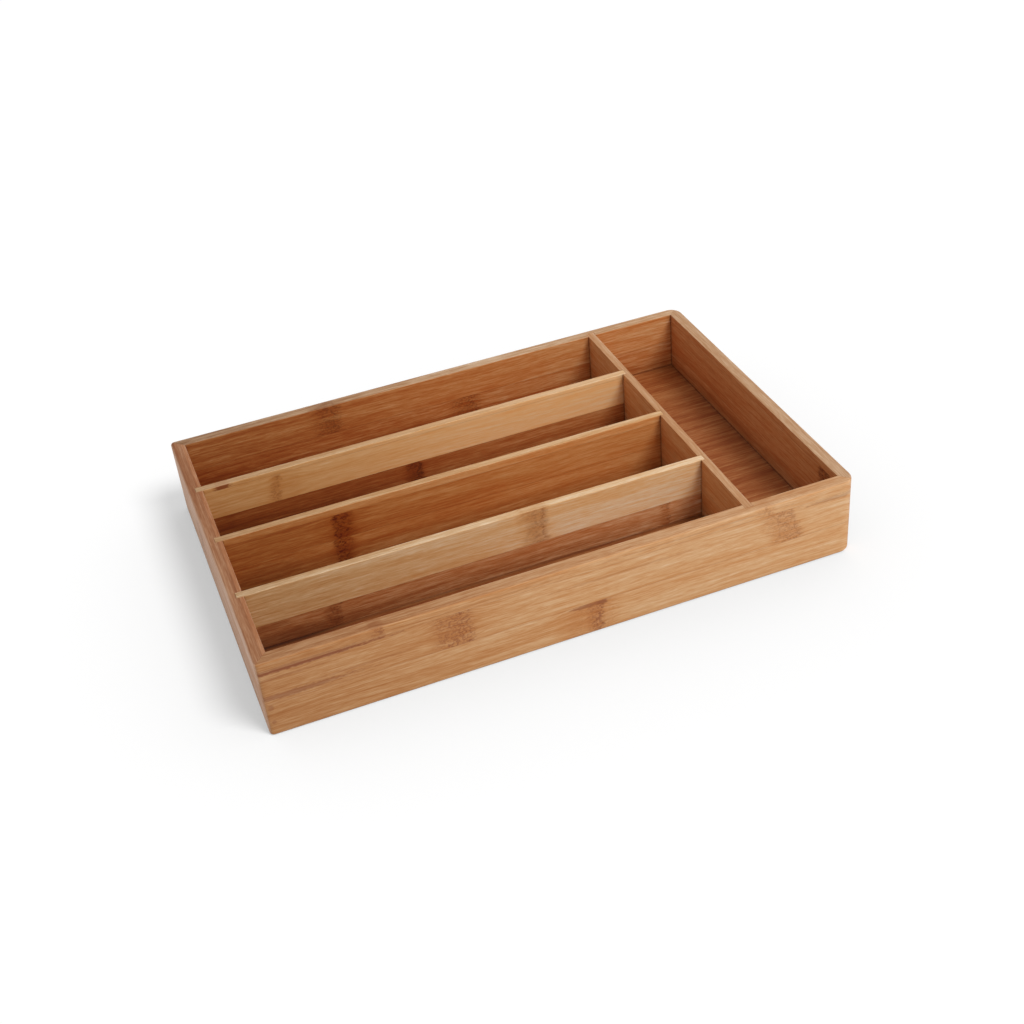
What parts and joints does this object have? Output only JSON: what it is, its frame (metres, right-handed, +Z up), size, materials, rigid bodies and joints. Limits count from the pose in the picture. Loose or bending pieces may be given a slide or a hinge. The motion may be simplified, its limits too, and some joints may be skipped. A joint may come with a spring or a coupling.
{
  "type": "cutlery tray",
  "caption": "Open bamboo cutlery tray: mitred frame, let-in base, long compartments side by side and a cross compartment at the right end.",
  "frame": {"origin": "middle of the footprint, on the surface that the tray stands on", "axes": "+X along the long compartments towards the end compartment, +Y to the back, +Z up"},
  "size_m": [0.35, 0.23, 0.05],
  "materials": {
    "bamboo_tan": "satin, lightly oiled",
    "bamboo_straw": "satin, lightly oiled",
    "bamboo_caramel": "satin, lightly oiled",
    "bamboo_amber": "satin, lightly oiled",
    "bamboo_russet": "satin, lightly oiled",
    "bamboo_base": "satin, lightly oiled"
  },
  "bodies": {
    "root": {"front_board_lower_strip": "bamboo_tan", "front_board_middle_strip": "bamboo_tan", "front_board_upper_strip": "bamboo_tan", "right_board_lower_strip": "bamboo_russet", "right_board_middle_strip": "bamboo_russet", "right_board_upper_strip": "bamboo_russet", "back_board_lower_strip": "bamboo_caramel", "back_board_middle_strip": "bamboo_caramel", "back_board_upper_strip": "bamboo_caramel", "left_board_lower_strip": "bamboo_tan", "left_board_middle_strip": "bamboo_tan", "left_board_upper_strip": "bamboo_tan", "cross_divider_lower_strip": "bamboo_russet", "cross_divider_upper_strip": "bamboo_russet", "rear_divider_lower_strip": "bamboo_caramel", "rear_divider_middle_strip": "bamboo_straw", "rear_divider_upper_strip": "bamboo_straw", "middle_divider_lower_strip": "bamboo_amber", "middle_divider_middle_strip": "bamboo_amber", "middle_divider_upper_strip": "bamboo_amber", "front_divider_lower_strip": "bamboo_caramel", "front_divider_upper_strip": "bamboo_straw", "base_panel": "bamboo_base"}
  },
  "joints": []
}
